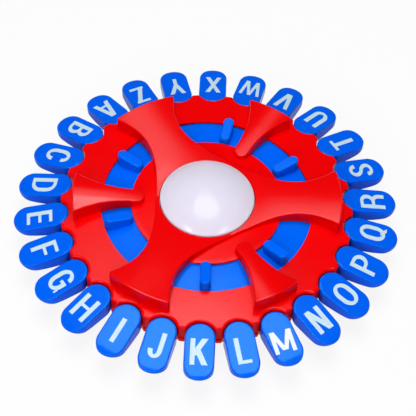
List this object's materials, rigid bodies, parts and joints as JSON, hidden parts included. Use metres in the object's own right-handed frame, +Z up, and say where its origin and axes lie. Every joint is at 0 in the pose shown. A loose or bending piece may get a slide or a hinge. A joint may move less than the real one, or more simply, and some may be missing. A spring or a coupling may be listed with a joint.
{
  "type": "rotating word game board",
  "caption": "Round word game board: letter keys around a domed cover tip down, a turning ring with finger tabs lifts them again, and a push-down dome starts the timer.",
  "frame": {"origin": "on the table, under the middle of the hub", "axes": "+Z up out of the dome button; -Y towards the player, through the key for the letter K; +X to the player's right"},
  "size_m": [0.2506, 0.2524, 0.0482],
  "materials": {
    "red_plastic": "moulded, glossy, opaque red",
    "blue_key_plastic": "moulded, glossy, bright blue",
    "blue_ring_plastic": "moulded, glossy, bright blue",
    "milky_dome_plastic": "moulded, glossy, milky and slightly see-through",
    "white_inner_plastic": "moulded, satin white",
    "spring_steel": "drawn wire, bright",
    "circuit_board": "green solder mask",
    "black_switch_plastic": "moulded black",
    "black_buzzer_plastic": "moulded black",
    "cell_wrapper": "printed steel can, plain dark grey",
    "contact_steel": "nickel-plated sheet",
    "screw_steel": "zinc-plated",
    "foot_rubber": "matt black"
  },
  "bodies": {
    "base": {"top_cover": "red_plastic", "bottom_case": "red_plastic", "button_spring": "spring_steel", "timer_board": "circuit_board", "start_switch": "black_switch_plastic", "buzzer": "black_buzzer_plastic", "battery_1": "cell_wrapper", "battery_2": "cell_wrapper", "battery_contacts": "contact_steel", "battery_door": "red_plastic", "battery_door_screw": "screw_steel", "case_screws": "screw_steel", "board_screws": "screw_steel", "rubber_feet": "foot_rubber"},
    "reset_ring": {"reset_ring": "blue_ring_plastic"},
    "start_button": {"dome_button": "milky_dome_plastic", "button_plunger": "white_inner_plastic"},
    "key_a_body": {"key_a": "blue_key_plastic"},
    "key_b_body": {"key_b": "blue_key_plastic"},
    "key_c_body": {"key_c": "blue_key_plastic"},
    "key_d_body": {"key_d": "blue_key_plastic"},
    "key_e_body": {"key_e": "blue_key_plastic"},
    "key_f_body": {"key_f": "blue_key_plastic"},
    "key_g_body": {"key_g": "blue_key_plastic"},
    "key_h_body": {"key_h": "blue_key_plastic"},
    "key_i_body": {"key_i": "blue_key_plastic"},
    "key_j_body": {"key_j": "blue_key_plastic"},
    "key_k_body": {"key_k": "blue_key_plastic"},
    "key_l_body": {"key_l": "blue_key_plastic"},
    "key_m_body": {"key_m": "blue_key_plastic"},
    "key_n_body": {"key_n": "blue_key_plastic"},
    "key_o_body": {"key_o": "blue_key_plastic"},
    "key_p_body": {"key_p": "blue_key_plastic"},
    "key_q_body": {"key_q": "blue_key_plastic"},
    "key_r_body": {"key_r": "blue_key_plastic"},
    "key_s_body": {"key_s": "blue_key_plastic"},
    "key_t_body": {"key_t": "blue_key_plastic"},
    "key_u_body": {"key_u": "blue_key_plastic"},
    "key_v_body": {"key_v": "blue_key_plastic"},
    "key_w_body": {"key_w": "blue_key_plastic"},
    "key_x_body": {"key_x": "blue_key_plastic"},
    "key_y_body": {"key_y": "blue_key_plastic"},
    "key_z_body": {"key_z": "blue_key_plastic"}
  },
  "joints": [
    {"name": "key_a_tip", "type": "hinge", "parent": "base", "child": "key_a_body", "pos_m": [-0.05305, 0.05988, 0.017], "axis": [-0.7485, -0.6631, 0], "range_deg": [0, 7]},
    {"name": "key_b_tip", "type": "hinge", "parent": "base", "child": "key_b_body", "pos_m": [-0.06584, 0.04544, 0.017], "axis": [-0.5681, -0.823, 0], "range_deg": [0, 7]},
    {"name": "key_c_tip", "type": "hinge", "parent": "base", "child": "key_c_body", "pos_m": [-0.0748, 0.02837, 0.017], "axis": [-0.3546, -0.935, 0], "range_deg": [0, 7]},
    {"name": "key_d_tip", "type": "hinge", "parent": "base", "child": "key_d_body", "pos_m": [-0.07942, 0.00964, 0.017], "axis": [-0.1205, -0.9927, 0], "range_deg": [0, 7]},
    {"name": "key_e_tip", "type": "hinge", "parent": "base", "child": "key_e_body", "pos_m": [-0.07942, -0.00964, 0.017], "axis": [0.1205, -0.9927, 0], "range_deg": [0, 7]},
    {"name": "key_f_tip", "type": "hinge", "parent": "base", "child": "key_f_body", "pos_m": [-0.0748, -0.02837, 0.017], "axis": [0.3546, -0.935, 0], "range_deg": [0, 7]},
    {"name": "key_g_tip", "type": "hinge", "parent": "base", "child": "key_g_body", "pos_m": [-0.06584, -0.04544, 0.017], "axis": [0.5681, -0.823, 0], "range_deg": [0, 7]},
    {"name": "key_h_tip", "type": "hinge", "parent": "base", "child": "key_h_body", "pos_m": [-0.05305, -0.05988, 0.017], "axis": [0.7485, -0.6631, 0], "range_deg": [0, 7]},
    {"name": "key_i_tip", "type": "hinge", "parent": "base", "child": "key_i_body", "pos_m": [-0.03718, -0.07084, 0.017], "axis": [0.8855, -0.4647, 0], "range_deg": [0, 7]},
    {"name": "key_j_tip", "type": "hinge", "parent": "base", "child": "key_j_body", "pos_m": [-0.01914, -0.07767, 0.017], "axis": [0.9709, -0.2393, 0], "range_deg": [0, 7]},
    {"name": "key_k_tip", "type": "hinge", "parent": "base", "child": "key_k_body", "pos_m": [0, -0.08, 0.017], "axis": [1, 0, 0], "range_deg": [0, 7]},
    {"name": "key_l_tip", "type": "hinge", "parent": "base", "child": "key_l_body", "pos_m": [0.01914, -0.07767, 0.017], "axis": [0.9709, 0.2393, 0], "range_deg": [0, 7]},
    {"name": "key_m_tip", "type": "hinge", "parent": "base", "child": "key_m_body", "pos_m": [0.03718, -0.07084, 0.017], "axis": [0.8855, 0.4647, 0], "range_deg": [0, 7]},
    {"name": "key_n_tip", "type": "hinge", "parent": "base", "child": "key_n_body", "pos_m": [0.05305, -0.05988, 0.017], "axis": [0.7485, 0.6631, 0], "range_deg": [0, 7]},
    {"name": "key_o_tip", "type": "hinge", "parent": "base", "child": "key_o_body", "pos_m": [0.06584, -0.04544, 0.017], "axis": [0.5681, 0.823, 0], "range_deg": [0, 7]},
    {"name": "key_p_tip", "type": "hinge", "parent": "base", "child": "key_p_body", "pos_m": [0.0748, -0.02837, 0.017], "axis": [0.3546, 0.935, 0], "range_deg": [0, 7]},
    {"name": "key_q_tip", "type": "hinge", "parent": "base", "child": "key_q_body", "pos_m": [0.07942, -0.00964, 0.017], "axis": [0.1205, 0.9927, 0], "range_deg": [0, 7]},
    {"name": "key_r_tip", "type": "hinge", "parent": "base", "child": "key_r_body", "pos_m": [0.07942, 0.00964, 0.017], "axis": [-0.1205, 0.9927, 0], "range_deg": [0, 7]},
    {"name": "key_s_tip", "type": "hinge", "parent": "base", "child": "key_s_body", "pos_m": [0.0748, 0.02837, 0.017], "axis": [-0.3546, 0.935, 0], "range_deg": [0, 7]},
    {"name": "key_t_tip", "type": "hinge", "parent": "base", "child": "key_t_body", "pos_m": [0.06584, 0.04544, 0.017], "axis": [-0.5681, 0.823, 0], "range_deg": [0, 7]},
    {"name": "key_u_tip", "type": "hinge", "parent": "base", "child": "key_u_body", "pos_m": [0.05305, 0.05988, 0.017], "axis": [-0.7485, 0.6631, 0], "range_deg": [0, 7]},
    {"name": "key_v_tip", "type": "hinge", "parent": "base", "child": "key_v_body", "pos_m": [0.03718, 0.07084, 0.017], "axis": [-0.8855, 0.4647, 0], "range_deg": [0, 7]},
    {"name": "key_w_tip", "type": "hinge", "parent": "base", "child": "key_w_body", "pos_m": [0.01914, 0.07767, 0.017], "axis": [-0.9709, 0.2393, 0], "range_deg": [0, 7]},
    {"name": "key_x_tip", "type": "hinge", "parent": "base", "child": "key_x_body", "pos_m": [0, 0.08, 0.017], "axis": [-1, 0, 0], "range_deg": [0, 7]},
    {"name": "key_y_tip", "type": "hinge", "parent": "base", "child": "key_y_body", "pos_m": [-0.01914, 0.07767, 0.017], "axis": [-0.9709, -0.2393, 0], "range_deg": [0, 7]},
    {"name": "key_z_tip", "type": "hinge", "parent": "base", "child": "key_z_body", "pos_m": [-0.03718, 0.07084, 0.017], "axis": [-0.8855, -0.4647, 0], "range_deg": [0, 7]},
    {"name": "reset_ring_turn", "type": "hinge", "parent": "base", "child": "reset_ring", "pos_m": [0, 0, 0.024], "axis": [0, 0, 1], "range_deg": [0, 13.85]},
    {"name": "start_button_press", "type": "slide", "parent": "base", "child": "start_button", "axis": [0, 0, -1], "range_m": [0, 0.003], "stiffness_N_per_m": 300, "springref_m": -0.002, "deforming": ["button_spring"]}
  ]
}
